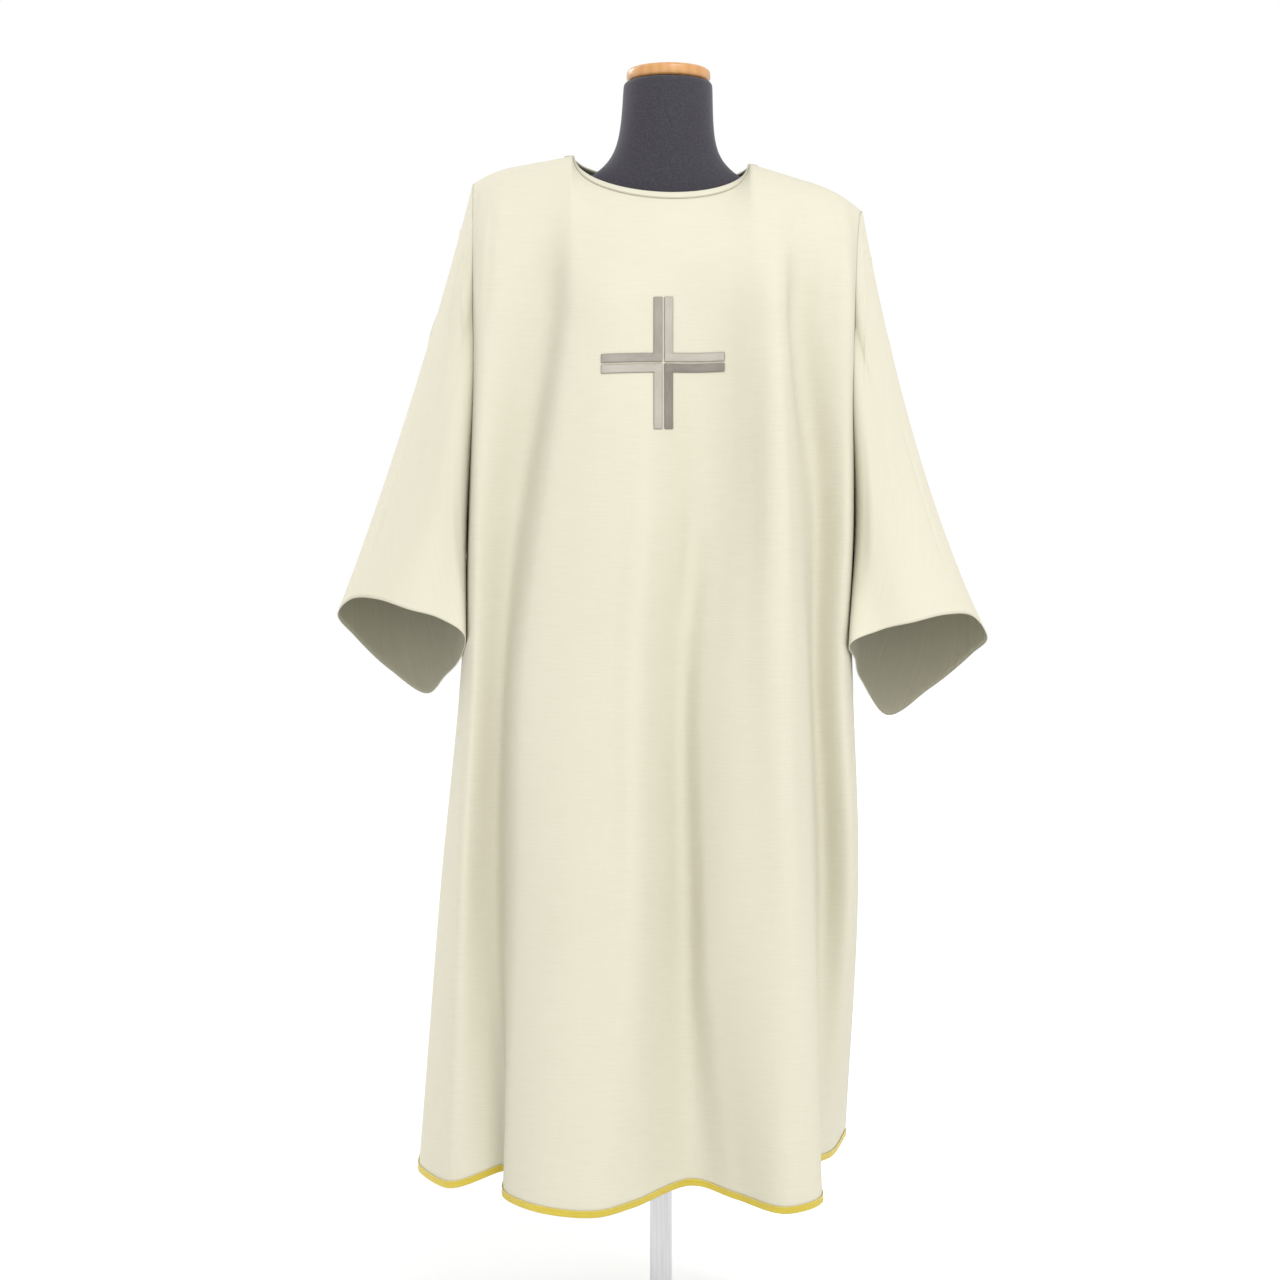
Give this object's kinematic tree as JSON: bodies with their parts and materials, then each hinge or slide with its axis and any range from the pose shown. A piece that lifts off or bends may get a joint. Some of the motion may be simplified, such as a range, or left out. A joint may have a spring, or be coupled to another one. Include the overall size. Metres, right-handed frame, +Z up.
{
  "type": "dalmatic on dress form",
  "caption": "Ivory knee-length dalmatic with wide open sleeves, an appliqued chest cross and gold hem braid, worn by a limbless dress form on a round base.",
  "frame": {"origin": "centre of the underside of the stand's round base", "axes": "+Z up, -Y the front of the garment, +X to the right as the front is seen (the wearer's left)"},
  "size_m": [0.8339, 0.41, 1.6269],
  "materials": {
    "ivory_cloth": "woven ivory with a fine horizontal slub, matt",
    "ivory_band": "the same woven ivory, edge stitched, matt",
    "gold_braid": "gold braid, soft shine",
    "dark_silver_satin": "dark silver satin, soft shine",
    "pale_silver_satin": "pale silver satin, soft shine",
    "black_jersey": "black jersey stretched over the form, matt",
    "honey_wood": "lacquered honey wood",
    "satin_steel": "satin",
    "white_enamel": "semi-gloss white enamel"
  },
  "bodies": {
    "root": {"front_panel": "ivory_cloth", "back_panel": "ivory_cloth", "left_sleeve": "ivory_cloth", "right_sleeve": "ivory_cloth", "neckband": "ivory_band", "front_hem_braid": "gold_braid", "back_hem_braid": "gold_braid", "cross_upper_left": "dark_silver_satin", "cross_upper_right": "pale_silver_satin", "cross_lower_left": "pale_silver_satin", "cross_lower_right": "dark_silver_satin", "form_torso": "black_jersey", "form_neck_cap": "honey_wood", "stand_pole": "satin_steel", "stand_base": "white_enamel"}
  },
  "joints": []
}
